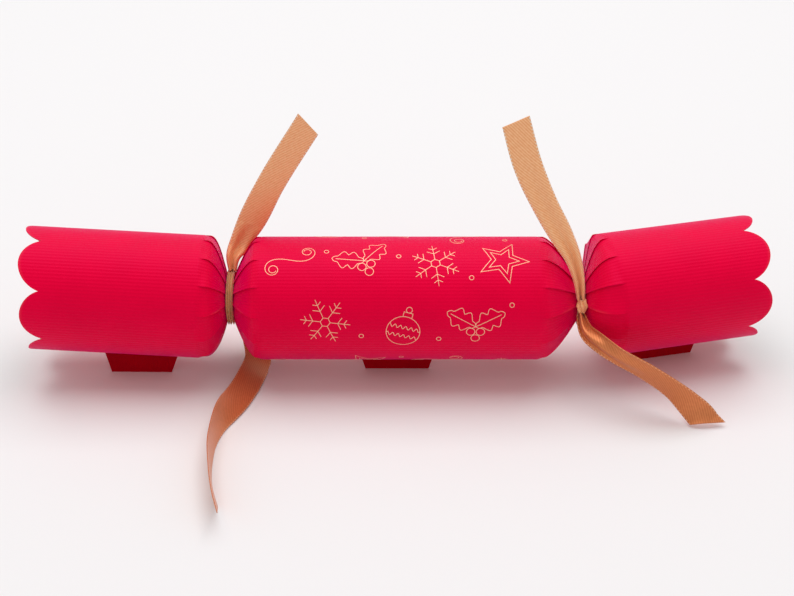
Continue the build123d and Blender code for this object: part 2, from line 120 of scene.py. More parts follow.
# Emboss: a sine wave of ribs that wander a little, broken up by a closer wave across them, with paper fibre on top
rib_period, grain_period = 1.43, 0.95
emboss, at, out = effect("card_emboss", ("Around", "Along"), ("Height", "Tone"))
stretched = node(emboss, "CombineXYZ", {0: at["Around"], 1: calc(emboss, "MULTIPLY", at["Along"], 0.2)})
wander = node(emboss, "TexNoise", {"Vector": stretched.outputs[0], "Scale": 0.5, "Detail": 2.0})
spot = node(emboss, "CombineXYZ", {0: at["Around"], 1: at["Along"]})
fibre = node(emboss, "TexNoise", {"Vector": spot.outputs[0], "Scale": 1.9, "Detail": 4.0})
rib_at = calc(emboss, "MULTIPLY_ADD", wander.outputs[0], 0.3, at["Around"])
rib = calc(emboss, "SINE", calc(emboss, "MULTIPLY", rib_at, 2 * np.pi / rib_period))
grain_at = calc(emboss, "MULTIPLY_ADD", fibre.outputs[0], 0.9, at["Along"])
grain = calc(emboss, "SINE", calc(emboss, "MULTIPLY", grain_at, 2 * np.pi / grain_period))
broken = calc(emboss, "MULTIPLY", rib, calc(emboss, "MULTIPLY_ADD", grain, 0.45, 1.0))
height = calc(emboss, "MULTIPLY_ADD", grain, 0.22, calc(emboss, "MULTIPLY", broken, 0.5))
emboss.links.new(calc(emboss, "MULTIPLY_ADD", fibre.outputs[0], 0.35, height), out["Height"])
cloud = node(emboss, "TexNoise", {"Vector": spot.outputs[0], "Scale": 0.06, "Detail": 3.0})
emboss.links.new(calc(emboss, "MULTIPLY_ADD", rib, 0.1, cloud.outputs[0]), out["Tone"])


def card_finish(name, deep, bright, pale_tone, plain, depth, place):
    """Embossed card: colour clouds between two tones, paler on the fold edges and cut edges that the mesh marks."""
    material, tree, surface = finish_of(name, plain)
    around, along = place(tree)
    press = node(tree, "Group", node_tree=emboss)
    tree.links.new(around, press.inputs["Around"])
    tree.links.new(along, press.inputs["Along"])
    colour = mixed(tree, press.outputs["Tone"], deep, bright)
    pale_mark = node(tree, "Attribute", attribute_name="pale_mark")
    tree.links.new(mixed(tree, pale_mark.outputs["Fac"], colour, pale_tone), surface.inputs["Base Color"])
    rough = calc(tree, "MULTIPLY_ADD", press.outputs["Tone"], 0.12, plain["Roughness"] - 0.06)
    tree.links.new(rough, surface.inputs["Roughness"])
    relief(tree, surface, press.outputs["Height"], depth)
    return material


red_plain = {
    "Roughness": 0.5,
    "Specular IOR Level": 0.2,
    "Specular Tint": (1.0, 0.1, 0.9, 1),
    "Sheen Weight": 0.17,
    "Sheen Roughness": 0.5,
    "Sheen Tint": (0.4, 0.0, 1.0, 1),
}
red_deep, red_bright, red_pale_tone = (0.74, 0.0, 0.022, 1), (0.88, 0.0, 0.032, 1), (0.98, 0.42, 0.40, 1)
red_card = card_finish("red_card", red_deep, red_bright, red_pale_tone, red_plain, 0.055, flat_place)
gold_plain = {"Roughness": 0.42, "Metallic": 0.55}
gold_tones = (0.42, 0.21, 0.05, 1), (0.56, 0.30, 0.09, 1), (0.6, 0.4, 0.2, 1)
gold_reverse = card_finish("gold_reverse", *gold_tones, gold_plain, 0.07, flat_place)


def put_together(name, grids, materials, fold=38):
    """Mesh from grids of points, each (points, uv, slot, turned, rub): points (rows, columns, 3) in millimetres,
    uv one column wider where the columns close into a ring. Edges sharper than fold degrees stay sharp."""
    verts, quads, uvs, slots, pale_marks, base = [], [], [], [], [], 0
    for points, uv, slot, turned, pale_mark in grids:
        rows, columns = points.shape[:2]
        last = uv.shape[1] - 1
        i, j = np.meshgrid(np.arange(rows - 1), np.arange(last), indexing="ij")
        ring = [(i, j), (i + 1, j), (i + 1, j + 1), (i, j + 1)]
        ring = ring[::-1] if turned else ring
        quads.append(np.stack([base + a * columns + b % columns for a, b in ring], -1).reshape(-1, 4))
        uvs.append(np.stack([uv[a, b] for a, b in ring], -2).reshape(-1, 4, 2))
        slots.append(np.full(i.size, slot))
        pale_marks.append(np.zeros(rows * columns) if pale_mark is None else np.broadcast_to(pale_mark, (rows, columns)).ravel())
        verts.append(points.reshape(-1, 3))
        base += rows * columns
    mesh = bpy.data.meshes.new(name)
    mesh.from_pydata((np.concatenate(verts) / 1000).tolist(), [], np.concatenate(quads).tolist())
    mesh.uv_layers.new(name="sheet")
    mesh.uv_layers["sheet"].uv.foreach_set("vector", (np.concatenate(uvs) / 100).astype(np.float32).ravel())
    mesh.polygons.foreach_set("material_index", np.concatenate(slots).astype(np.int32))
    mesh.attributes.new("pale_mark", "FLOAT", "POINT").data.foreach_set("value", np.concatenate(pale_marks).astype(np.float32))
    welded = bmesh.new()
    welded.from_mesh(mesh)
    bmesh.ops.remove_doubles(welded, verts=welded.verts, dist=2e-6)
    bmesh.ops.dissolve_degenerate(welded, dist=1e-7, edges=welded.edges)
    welded.to_mesh(mesh)
    welded.free()
    mesh.polygons.foreach_set("use_smooth", np.ones(len(mesh.polygons), bool))
    mesh.set_sharp_from_angle(angle=np.radians(fold))
    for material in materials:
        mesh.materials.append(material)
    piece = bpy.data.objects.new(name, mesh)
    bpy.context.collection.objects.link(piece)
    return piece


def walls(outer, inner, uv, turned, pale_mark=None, close=(True, True)):
    """Grids of a wall: its outside, its inside, and the cut edge at its first and last row where asked."""
    grids = [(outer, uv, 0, turned, pale_mark), (inner, uv, 1, not turned, None)]
    for row, wanted in ((0, close[0]), (-1, close[1])):
        if wanted:
            edge = np.stack([inner[row], outer[row]] if row == 0 else [outer[row], inner[row]])
            rim = np.stack([uv[row], uv[row] + [0, card]])
            grids.append((edge, rim, 0, turned, worn_edge))
    return grids


# Barrel: the middle tube of the sheet, 50 mm across, with a pleated shoulder at each end. The card is gathered in
# thirteen panels, and each panel's raised edge stands over the one before it.
tube_radius, axis_height, neck_x = 25.25, 34.0, 71.5
neck_radius, neck_hole, neck_gap, throat = 9.6, 7.4, 2.0, 0.5
panels, panel_phase = 13, 18.5
panel_step = 360 / panels
tuck_at_neck, tuck_at_tube = 1.5, 0.55


def directions(axis, side):
    """Unit axis, and the two unit directions across it: down, and towards the front."""
    axis = axis / np.linalg.norm(axis, axis=-1, keepdims=True)
    down = np.array([0, 0, -1.0]) + axis[..., 2:] * axis
    down = down / np.linalg.norm(down, axis=-1, keepdims=True)
    return axis, down, -side * np.cross(axis, down)


def leaning(side, turn_back=0.0, tip_up=0.0):
    """Direction of a tube's axis outwards on a side, turned back and tipped up in degrees."""
    turn, tip = np.radians([turn_back, tip_up])
    return np.array([side * np.cos(turn) * np.cos(tip), np.sin(turn) * np.cos(tip), np.sin(tip)])


def round_tube(centres, down, front, radius, angle):
    """Points at a radius and an angle round each of a row of centres."""
    a = np.radians(angle)[..., None]
    return centres[:, None] + radius[..., None] * (np.cos(a) * down[:, None] + np.sin(a) * front[:, None])


panel_cuts = 10  # columns across a panel
# Share by which the raised edges of a few panels are drawn paler, near the middle of each shoulder.
pale_fold_panels = np.isin(np.arange(panels), (1, 3, 8)) * 0.07 + 0.01


def pleats(neck, neck_axis, tube_axis, shoulder, fullness, side, past):
    """Grids of a pleated shoulder from the tied neck to a tube.

    A ring's radius falls short of the tube's by a power of the way still to go. Across a panel it falls from the raised
    edge by the tuck and dips from the arc to its chord. Both fade out on the first few millimetres of the tube. Each
    panel ends under the next one's raised edge, and the raised edge has the card's thickness."""
    start = neck + neck_axis * (neck_gap / 2)
    spread = start + neck_axis * throat
    tube = neck + tube_axis * shoulder
    reach = np.linalg.norm(tube - spread)
    share = np.concatenate([[0], np.linspace(0, 1, 20) ** 1.3, 1 + past / reach * np.linspace(0.12, 1, 8)])
    within = np.minimum(share, 1)
    centres = spread + (tube - spread) * within[:, None] + tube_axis * reach * (share - within)[:, None]
    centres[0] = start
    axis, down, front = directions(neck_axis * (1 - within[:, None]) + tube_axis * within[:, None], side)
    radius = tube_radius - (tube_radius - neck_radius) * (1 - within) ** fullness
    fade = np.clip((share[-1] - share) / (past / reach + 0.1), 0, 1)
    fade = fade**2 * (3 - 2 * fade)
    tuck = (tuck_at_neck + (tuck_at_tube - tuck_at_neck) * within) * fade
    lip = np.minimum(card, 0.62 * tuck)
    under = np.degrees(np.minimum(1.3, 1.6 * tuck) / radius)
    u = np.linspace(0, 1, panel_cuts + 1)
    first = panel_phase + panel_step * np.arange(panels)
    dip = radius * (1 - np.cos(np.radians(panel_step / 2))) * fade
    face = radius[:, None] - tuck[:, None] * u - dip[:, None] * (1 - (2 * u - 1) ** 2)
    low = (radius - lip)[:, None]
    one = np.concatenate([low, low, face, face[:, -1:]], 1)
    turn = np.concatenate([under[:, None], 0 * low, panel_step * u + 0 * low, panel_step + 0.9 * under[:, None]], 1)
    height = np.tile(one, panels)
    angle = (turn[:, None] + first[:, None]).reshape(len(share), -1)
    outer = round_tube(centres, down, front, height, angle)
    wall = np.maximum((neck_radius - neck_hole) * (1 - within) + card * within, tuck + dip + 0.15)
    inner_radius = np.broadcast_to((radius - wall)[:, None], height.shape)
    even = (np.concatenate([[0, 0], panel_step * u, [panel_step]]) + first[:, None]).reshape(1, -1)
    inner = round_tube(centres, down, front, inner_radius, np.broadcast_to(even, height.shape))
    around = np.concatenate([even, even[:, :1] + 360], 1) * np.pi / 180 * tube_radius
    gone = np.concatenate([[0], np.cumsum(np.linalg.norm(np.diff(outer[:, 2], axis=0), axis=-1))])[:, None]
    uv = np.stack(np.broadcast_arrays(around, -side * gone), -1)
    pale_band = np.exp(-(((within - 0.3) / 0.2) ** 2))[:, None]
    pale_mark = pale_band * np.concatenate([[0.1, 0.6, 0.9], np.zeros(panel_cuts + 1)])[None] * pale_fold_panels[:, None, None]
    pale_mark = np.swapaxes(pale_mark, 0, 1).reshape(len(share), -1)
    return walls(outer, inner, uv, side < 0, pale_mark, (True, False)), centres[-1]


def plain_tube(first, last, axis, side, rows):
    """Grids of a plain length of tube, with the same columns as the pleats that it runs on from."""
    t = np.linspace(0, 1, rows)[:, None]
    centres = first + (last - first) * t
    axis, down, front = directions(np.broadcast_to(axis, centres.shape), side)
    angle = panel_phase + panel_step / panel_cuts * np.arange(panels * panel_cuts)[None]
    outer = round_tube(centres, down, front, np.full((rows, angle.size), tube_radius), angle)
    inner = round_tube(centres, down, front, np.full((rows, angle.size), tube_radius - card), angle)
    around = np.append(angle, angle[:, :1] + 360, 1) * np.pi / 180 * tube_radius
    along = t * np.linalg.norm(last - first) * side
    uv = np.stack(np.broadcast_arrays(around, along), -1)
    return walls(outer, inner, uv, side < 0, None, (False, False))


left_shoulder, right_shoulder, barrel_fullness, past_barrel = 10.5, 15.0, 1.45, 3.0
left_neck, right_neck = np.array([[-neck_x, 0, axis_height], [neck_x, 0, axis_height]])
to_left, to_right = leaning(-1), leaning(1)
left_part, left_edge = pleats(left_neck, to_right, to_right, left_shoulder, barrel_fullness, 1, past_barrel)
right_part, right_edge = pleats(right_neck, to_left, to_left, right_shoulder, barrel_fullness, -1, past_barrel)
middle_part = plain_tube(left_edge, right_edge, to_right, 1, 24)
barrel = put_together("barrel", left_part + middle_part + right_part, [red_card, gold_reverse])
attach(barrel, "barrel")
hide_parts("barrel_card")

# Foil drawing: thin pale gold lines pressed onto the barrel, of stars, snow crystals, holly and scrolls spread evenly
# round it. The lines stand a few hundredths of a millimetre proud of the card.
line_width, line_rise, line_sunk = 0.32, 0.06, 0.02


def dense(points, gap=0.8):
    """The same line with points at most that far apart, its corners kept."""
    points = np.asarray(points, float)
    legs = np.maximum(np.ceil(np.linalg.norm(np.diff(points, axis=0), axis=1) / gap), 1).astype(int)
    knots = np.concatenate([[0], np.cumsum(legs)])
    return np.stack([np.interp(np.arange(knots[-1] + 1), knots, points[:, k]) for k in (0, 1)], 1)


def placed(points, degrees, size, centre):
    """Line turned, sized and moved on the flat sheet."""
    c, s = np.cos(np.radians(degrees)), np.sin(np.radians(degrees))
    return np.asarray(points) @ (size * np.array([[c, s], [-s, c]])) + centre


def star():
    """Two five-pointed outlines, one in the other: ten corners whose radius goes out and in."""
    a = np.pi / 2 + np.pi / 5 * np.arange(11)
    out = np.stack([np.cos(a), np.sin(a)], 1) * np.where(np.arange(11) % 2, 0.45, 1.0)[:, None]
    return [out, 0.62 * out]


def snow_crystal():
    """Six straight arms, each with two pairs of side branches at 60 degrees, round a small hexagon."""
    arm = [[(0.2, 0), (1, 0)]]
    for at, reach in ((0.5, 0.3), (0.75, 0.2)):
        arm.append([(at + reach / 2, reach * 0.87), (at, 0), (at + reach / 2, -reach * 0.87)])
    a = np.pi / 3 * np.arange(7)
    hexagon = 0.2 * np.stack([np.cos(a), np.sin(a)], 1)
    return [hexagon] + [placed(leg, 60 * k, 1, (0, 0)) for k in range(6) for leg in arm]


def holly():
    """Two leaves with a midrib and three berries. A leaf's half width is a sine hump cut by a cosine into spikes."""
    t = np.linspace(0, 1, 49)
    half = 0.36 * np.sin(np.pi * t) ** 0.8 * (0.55 + 0.45 * np.abs(np.cos(3 * np.pi * t)) ** 1.5)
    leaf = np.concatenate([np.stack([t, half], 1), np.stack([t, -half], 1)[::-1]])
    rib = np.array([(0.0, 0.0), (0.88, 0.0)])
    a = np.linspace(0, 2 * np.pi, 25)
    berry = 0.13 * np.stack([np.cos(a), np.sin(a)], 1)
    lines = [placed(p, d, 1.0, (0.0, -0.1)) for d in (28, 152) for p in (leaf, rib)]
    return lines + [berry + c for c in ((-0.15, -0.28), (0.15, -0.28), (0.0, -0.52))]


def scroll():
    """Double spiral: its heading is the square of the way from the middle, so it winds up at both ends."""
    s = np.linspace(-1, 1, 161)
    line = np.cumsum(np.stack([np.cos(11 * s**2), np.sin(11 * s**2)], 1), 0) * (s[1] - s[0])
    return [2.9 * (line - line[80])]


def bauble():
    """Round bauble with two wavy bands, a cap and a ring to hang it by."""
    a = np.linspace(0, 2 * np.pi, 49)
    circle = np.stack([np.cos(a), np.sin(a)], 1)
    x = np.linspace(-1, 1, 41)
    bands = [np.stack([w * x, y + 0.08 * np.sin(6 * np.pi * x)], 1) for y, w in ((0.22, 0.73), (-0.22, 0.73))]
    cap = [(-0.2, 0.73), (-0.2, 0.95), (0.2, 0.95), (0.2, 0.73)]
    return [0.75 * circle, *bands, cap, 0.13 * circle + (0, 1.08)]


def dot():
    """Small ring."""
    a = np.linspace(0, 2 * np.pi, 17)
    return [np.stack([np.cos(a), np.sin(a)], 1)]


def foil_strip(line):
    """Grid of one line on the barrel: its two edges in the card and its middle just above it. The edges lie half a
    width to each side, mitred at corners, and the flat sheet wraps round the tube."""
    legs = np.diff(line, axis=0)
    legs = legs / np.linalg.norm(legs, axis=1, keepdims=True)
    if np.allclose(line[0], line[-1]):
        before, after = np.concatenate([legs[-1:], legs]), np.concatenate([legs, legs[:1]])
    else:
        before, after = np.concatenate([legs[:1], legs]), np.concatenate([legs, legs[-1:]])
    mitre = (before + after) / np.maximum(1 + (before * after).sum(1, keepdims=True), 0.25)
    side = np.stack([-mitre[:, 1], mitre[:, 0]], 1)
    flat = line[:, None] + side[:, None] * (line_width * np.array([-0.5, 0, 0.5]))[None, :, None]
    a = np.pi / 2 + flat[..., 1] / tube_radius
    r = tube_radius + np.array([-line_sunk, line_rise, -line_sunk])
    points = np.stack([flat[..., 0], -r * np.sin(a), axis_height - r * np.cos(a)], -1)
    return points, flat, 0, False, None


foil, tree, surface = finish_of("gold_foil", {"Metallic": 0.35, "Roughness": 0.38})
around, along = flat_place(tree)
fleck_at = node(tree, "CombineXYZ", {0: around, 1: along})
fleck = node(tree, "TexNoise", {"Vector": fleck_at.outputs[0], "Scale": 1.3, "Detail": 3.0})
tree.links.new(
    mixed(tree, fleck.outputs[0], (0.92, 0.40, 0.24, 1), (1.0, 0.60, 0.40, 1)), surface.inputs["Base Color"]
)
relief(tree, surface, fleck.outputs[0], 0.02)

ring_of_rows = 2 * np.pi * tube_radius / 6
layout = [
    (0, (-41, -13, 16, 43), (holly, star, scroll, snow_crystal)),
    (1, (-29, 2, 31), (snow_crystal, bauble, holly)),
    (2, (-43, -14, 15, 42), (scroll, holly, snow_crystal, star)),
    (3, (-28, 1, 29), (bauble, star, scroll)),
    (4, (-42, -15, 14, 42), (star, snow_crystal, holly, bauble)),
    (5, (-29, 0, 30), (scroll, holly, snow_crystal)),
]
sizes = {star: 10.5, snow_crystal: 10.0, holly: 13.0, scroll: 10.5, bauble: 9.0}
strips = []
for row, places, motifs in layout:
    for x, motif in zip(places, motifs):
        centre = (x - 3.0, (row - 1) * ring_of_rows + 4.0 * np.sin(1.7 * x))
        lean = 24 * np.sin(2.3 * x + row)
        strips += [foil_strip(dense(placed(p, lean, sizes[motif], centre))) for p in motif()]
        between = (x + 11.3, centre[1] + 8.5 * np.cos(x))
        strips += [foil_strip(dense(placed(p, 0, 0.9, between), 0.3)) for p in dot() if between[0] < 50]
drawing = put_together("foil_drawing", strips, [foil], fold=80)
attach(drawing, "barrel")

# Ends: two more tubes of the same sheet, each tipped a little at its neck, the right one bent well back. Their
# mouths are die-cut into seven round lobes, with the gold reverse showing inside.
end_shoulder, scallops, scallop_phase, scallop_depth = 10.0, 7, 14.1, 8.2
past_shoulder, end_fullness = 2.5, 2.2  # first millimetres of tube that still show the panels, and their bulge
lobe_start, tied_until, free_from = 6.0, 1.4, 9.0  # from the cusps, and from the neck along the gather


def scalloped_end(name, neck, axis, side, length, lean, roll):
    """End tube: its length at an angle is the cusps' plus a circular arc over each lobe, as seen square to it. The cut
    leans by that many degrees, furthest out opposite the seam, which is rolled forwards by so many degrees."""
    half = np.pi / scallops
    reach = tube_radius * np.sin(half)
    bow = (reach**2 + scallop_depth**2) / (2 * scallop_depth)
    across = reach * np.sin(np.linspace(-np.pi / 2, np.pi / 2, 27)[:-1])
    lobe = np.sqrt(bow**2 - across**2) - (bow - scallop_depth)
    first = np.radians(scallop_phase) + half
    angle = np.degrees(np.arcsin(across / tube_radius) + first + 2 * half * np.arange(scallops)[:, None]).ravel()
    root = length - scallop_depth
    skew = -tube_radius * np.tan(np.radians(lean)) * np.cos(np.radians(angle - roll))
    body = np.linspace(end_shoulder + past_shoulder - 0.02, root - lobe_start, 14)[:, None]
    outwards = np.linspace(0, 1, 12)[1:, None]
    mouth = root - lobe_start + outwards * (lobe_start + np.tile(lobe, scallops) + skew)
    s = np.concatenate([np.broadcast_to(body, (14, angle.size)), mouth])
    axis, down, front = directions(axis, side)
    a = np.radians(angle)[None, :, None]
    spoke = np.cos(a) * down + np.sin(a) * front
    outer = neck + s[..., None] * axis + tube_radius * spoke
    inner = neck + s[..., None] * axis + (tube_radius - card) * spoke
    u = np.append(angle, angle[:1] + 360)[None] * np.pi / 180 * tube_radius
    uv = np.stack(np.broadcast_arrays(u, np.append(s, s[:, :1], 1)), -1)
    pale_mark = np.zeros(s.shape)
    pale_mark[-1] = worn_edge
    return put_together(name, walls(outer, inner, uv, side < 0, pale_mark, (False, True)), [red_card, gold_reverse])


left_axis, right_axis = leaning(-1, 1.0, 3.0), leaning(1, 14.5, 0.2)
for name, neck, neck_axis, axis, side, length, lean, roll in (
    ("left", left_neck, to_left, left_axis, -1, 82.3, 4.0, 5.5),
    ("right", right_neck, to_right, right_axis, 1, 74.2, 4.0, 0.0),
):
    end = scalloped_end(name + "_end", neck, axis, side, length, lean, roll)
    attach(end, name + "_end")
    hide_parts(name + "_end_card")
    grids, _ = pleats(neck, neck_axis, axis, end_shoulder, end_fullness, side, past_shoulder)
    gather = put_together(name + "_gather", grids, [red_card, gold_reverse])
    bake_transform(gather)
    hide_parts(name + "_neck_pleats")

# Seam flaps: the inner edge of the sheet, lying inside each tube along its seam, gold side up. A tab cut in it comes
# out through a slit and is folded down, which locks the seam and makes a foot.


def table_place(tree):
    """Millimetres across and along the cracker, read from the frame's own coordinates."""
    apart = node(tree, "SeparateXYZ", {0: node(tree, "TexCoord").outputs["Object"]})
    return [calc(tree, "MULTIPLY", apart.outputs[i], 1000.0) for i in (1, 0)]


# Painted shade: the flaps' red is far darker than the card's, because the tabs sit in the shadow under the tubes.
flap_tones_painted_shade = (0.33, 0.0, 0.003, 1), (0.42, 0.0, 0.005, 1), red_pale_tone
flap_plain = {"Roughness": 0.65, "Specular IOR Level": 0.12, "Specular Tint": (1.0, 0.1, 0.5, 1)}
flap_card_painted_shade = card_finish("red_flap_painted_shade", *flap_tones_painted_shade, flap_plain, 0.05, table_place)
tree = flap_card_painted_shade.node_tree
surface = tree.nodes["Principled BSDF"]
facing = node(tree, "SeparateXYZ", {0: node(tree, "TexCoord").outputs["Normal"]})
gold_side = calc(tree, "GREATER_THAN", facing.outputs[2], 0.3)
red_side = surface.inputs["Base Color"].links[0].from_socket
tree.links.new(mixed(tree, gold_side, red_side, (0.34, 0.18, 0.05, 1)), surface.inputs["Base Color"])
dress(flap_card_painted_shade, "barrel_flap", "left_end_flap", "right_end_flap")

# Ribbon: 12 mm woven satin in copper, with a row of pale stitches along both edges. It goes once round each neck,
# gathered into a few lengthwise folds, is knotted, and its two tails stand and trail from the knot.
ribbon_width, ribbon, ribbon_gathered = 11.4, 0.28, 0.2  # millimetres wide, and thick when free or pulled tight
twill_period, stitch_period, stitch_inset, stitch_half = 1.85, 1.5, 0.3, 0.22

satin, at, out = effect("satin_weave", ("Across", "Along"), ("Height", "Tone", "Stitch"))
spot = node(satin, "CombineXYZ", {0: at["Across"], 1: at["Along"]})
slub = node(satin, "TexNoise", {"Vector": spot.outputs[0], "Scale": 0.7, "Detail": 3.0})
slant = calc(satin, "ADD", calc(satin, "MULTIPLY", at["Across"], 1.7), at["Along"])
slant = calc(satin, "MULTIPLY_ADD", slub.outputs[0], 0.25, slant)
twill = calc(satin, "SINE", calc(satin, "MULTIPLY", slant, 2 * np.pi / twill_period))
satin.links.new(calc(satin, "MULTIPLY_ADD", twill, 0.5, slub.outputs[0]), out["Height"])
satin.links.new(calc(satin, "MULTIPLY_ADD", twill, 0.4, slub.outputs[0]), out["Tone"])
from_edge = calc(satin, "SUBTRACT", ribbon_width / 2 - stitch_inset, calc(satin, "ABSOLUTE", at["Across"]))
row = calc(satin, "LESS_THAN", calc(satin, "ABSOLUTE", from_edge), stitch_half)
beat = calc(satin, "SINE", calc(satin, "MULTIPLY", at["Along"], 2 * np.pi / stitch_period))
stitch = calc(satin, "MULTIPLY", row, calc(satin, "GREATER_THAN", beat, 0.1))
satin.links.new(stitch, out["Stitch"])


def ribbon_finish(name, deep, bright, stitched, plain, depth):
    """Satin: two tones by the slant of the weave, with the pale stitches of both edges on top."""
    material, tree, surface = finish_of(name, plain)
    across, along = flat_place(tree)
    weave = node(tree, "Group", node_tree=satin)
    tree.links.new(across, weave.inputs["Across"])
    tree.links.new(along, weave.inputs["Along"])
    colour = mixed(tree, weave.outputs["Tone"], deep, bright)
    tree.links.new(mixed(tree, weave.outputs["Stitch"], colour, stitched), surface.inputs["Base Color"])
    lifted = calc(tree, "MULTIPLY_ADD", weave.outputs["Stitch"], 1.5, weave.outputs["Height"])
    relief(tree, surface, lifted, depth)
    return material


# Satin face and reverse. A single-faced satin is glossier on its face, but the face's tones are also brightened here as
# painted sheen for the standing tails and the knot, and the reverse's darkened as painted shade for the low tails.
satin_plain = {"Roughness": 0.42, "Specular IOR Level": 0.55, "Sheen Weight": 0.25, "Sheen Roughness": 0.4}
reverse_plain = {"Roughness": 0.4, "Metallic": 0.5, "Sheen Weight": 0.15, "Sheen Roughness": 0.4}
copper_face_painted_sheen = ribbon_finish(
    "copper_face_painted_sheen", (0.86, 0.35, 0.13, 1), (1.0, 0.54, 0.27, 1), (1.0, 0.76, 0.56, 1), satin_plain, 0.05
)
copper_reverse_painted_shade = ribbon_finish(
    "copper_reverse_painted_shade", (0.58, 0.165, 0.05, 1), (0.72, 0.235, 0.08, 1), (0.86, 0.42, 0.22, 1), reverse_plain, 0.025
)
# Painted shade: the bands round the necks get a darker, yellower copy of the satin, for the shade on their turns.
gathered_satin_painted_shade = ribbon_finish(
    "gathered_satin_painted_shade", (0.46, 0.21, 0.06, 1), (0.78, 0.43, 0.16, 1), (0.86, 0.58, 0.32, 1), satin_plain, 0.05
)


def curve_through(rows, count=600):
    """Smooth curve through rows of numbers, the first three of each a place: cubic from row to row, with slopes from
    both neighbours weighed by nearness."""
    rows = np.asarray(rows, float)
    span = np.linalg.norm(np.diff(rows[:, :3], axis=0), axis=1)
    steps = np.diff(rows, axis=0) / span[:, None]
    inner = (steps[:-1] * span[1:, None] + steps[1:] * span[:-1, None]) / (span[:-1] + span[1:])[:, None]
    slope = np.concatenate([steps[:1], inner, steps[-1:]])
    ends = np.concatenate([[0], np.cumsum(span)])
    at = np.linspace(0, ends[-1], count)
    i = np.clip(np.searchsorted(ends, at, "right") - 1, 0, len(span) - 1)
    t = ((at - ends[i]) / span[i])[:, None]
    a, b, w = rows[i], rows[i + 1], span[i][:, None]
    return (
        a * (2 * t**3 - 3 * t**2 + 1) + b * (3 * t**2 - 2 * t**3)
        + w * (slope[i] * (t**3 - 2 * t**2 + t) + slope[i + 1] * (t**3 - t**2))
    )


def folds(width, waves, u):
    """Height of a ribbon's lengthwise folds: a wave whose depth takes up the width that is gathered away."""
    spare = np.sqrt(np.maximum((ribbon_width / width) ** 2 - 1, 0)) * width
    return spare / (2 * np.pi * waves) * 1.25 * np.cos(2 * np.pi * waves * u)


def cut_from_ribbon(piece, name, tie, thickness, offset):
    """Thicken a ribbon piece, attach it to the body it rides on and hide the frame part it replaces."""
    thicken = piece.modifiers.new("thickness", "SOLIDIFY")
    thicken.thickness, thicken.offset = thickness / 1000, offset
    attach(piece, tie)
    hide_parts(name)


def ribbon_tail(name, route, slant, tie, finish, twill, curl):
    """Free ribbon end: its middle follows the route, its face lies across it, folds run out from the knot, and both
    edges curl a little. The cut slants by that many millimetres from edge to edge, and the twill to that side."""
    line = curve_through([(*middle, *across, width) for middle, across, width in route])
    way = np.concatenate([[0], np.cumsum(np.linalg.norm(np.diff(line[:, :3], axis=0), axis=1))])
    spare = abs(slant) / 2 + 1
    tip = line[-1] + (line[-1] - line[-2]) / (way[-1] - way[-2]) * spare
    tip[3:] = line[-1, 3:]
    line, reach = np.concatenate([line, tip[None]]), np.append(way, way[-1] + spare)
    u = np.linspace(-0.5, 0.5, 25)
    s = np.linspace(0, 1, 150)[:, None] * (way[-1] + slant * u)
    at = [np.interp(s, reach, line[:, k]) for k in range(7)]
    ahead = [np.interp(s + 0.4, reach, line[:, k]) - np.interp(s - 0.4, reach, line[:, k]) for k in range(3)]
    middle, across, width, forward = np.stack(at[:3], -1), np.stack(at[3:6], -1), at[6], np.stack(ahead, -1)
    forward /= np.linalg.norm(forward, axis=-1, keepdims=True)
    across -= (across * forward).sum(-1, keepdims=True) * forward
    across /= np.linalg.norm(across, axis=-1, keepdims=True)
    face = np.cross(forward, across)
    lift = folds(width, 1.5, u) + curl * (4 * u**2 - 0.33) * np.sin(np.pi * np.clip(s / way[-1], 0, 1)) ** 0.5
    points = middle + across * (width * u)[..., None] + face * lift[..., None]
    uv = np.stack(np.broadcast_arrays(twill * ribbon_width * u, s), -1)
    piece = put_together(name + "_satin", [(points, uv, 0, False, None)], [finish], fold=80)
    cut_from_ribbon(piece, name, tie, ribbon, 0)


full = ribbon_width
ribbon_tail("right_ribbon_upper_tail", [
    ((70.9, -10.5, 39.8), (0.99, 0.0, -0.10), 3.0),
    ((69.4, -11.8, 50.0), (0.98, 0.11, 0.19), 4.6),
    ((66.3, -11.8, 60.3), (0.91, 0.21, 0.36), 6.8),
    ((61.8, -11.0, 68.9), (0.87, 0.22, 0.43), 9.2),
    ((55.0, -9.6, 81.5), (0.87, 0.20, 0.44), 10.2),
    ((47.7, -7.2, 97.8), (0.90, 0.18, 0.38), full),
    ((42.6, -4.0, 115.1), (0.94, 0.16, 0.30), full),
], 1.3, "right_tie", copper_face_painted_sheen, 1, 0.5)
ribbon_tail("right_ribbon_lower_tail", [
    ((70.9, -12.1, 33.7), (0.98, 0.0, 0.20), 3.0),
    ((72.7, -19.5, 29.7), (0.66, -0.04, 0.75), 6.4),
    ((77.4, -26.0, 28.0), (0.38, -0.14, 0.91), 8.6),
    ((83.5, -30.6, 25.4), (0.20, -0.36, 0.91), 10.4),
    ((96.0, -35.6, 20.2), (0.27, -0.45, 0.85), full),
    ((108.9, -39.3, 12.2), (0.51, -0.36, 0.78), full),
    ((115.0, -41.5, 6.9), (0.72, -0.05, 0.69), full),
    ((120.4, -45.2, 2.5), (0.90, 0.36, 0.12), full),
], 9.0, "right_tie", copper_reverse_painted_shade, 1, -0.4)
ribbon_tail("left_ribbon_upper_tail", [
    ((-71.3, 8.6, 42.0), (1.0, 0.0, 0.0), 3.0),
    ((-70.9, 11.0, 47.4), (0.98, -0.09, -0.15), 5.8),
    ((-68.9, 14.4, 50.6), (0.89, 0.25, -0.38), 8.4),
    ((-64.0, 16.4, 59.3), (0.87, 0.15, -0.47), full),
    ((-55.1, 16.4, 77.3), (0.87, 0.0, -0.50), full),
    ((-38.9, 16.6, 104.6), (0.85, 0.0, -0.52), full),
], -4.0, "left_tie", copper_face_painted_sheen, -1, 0.4)
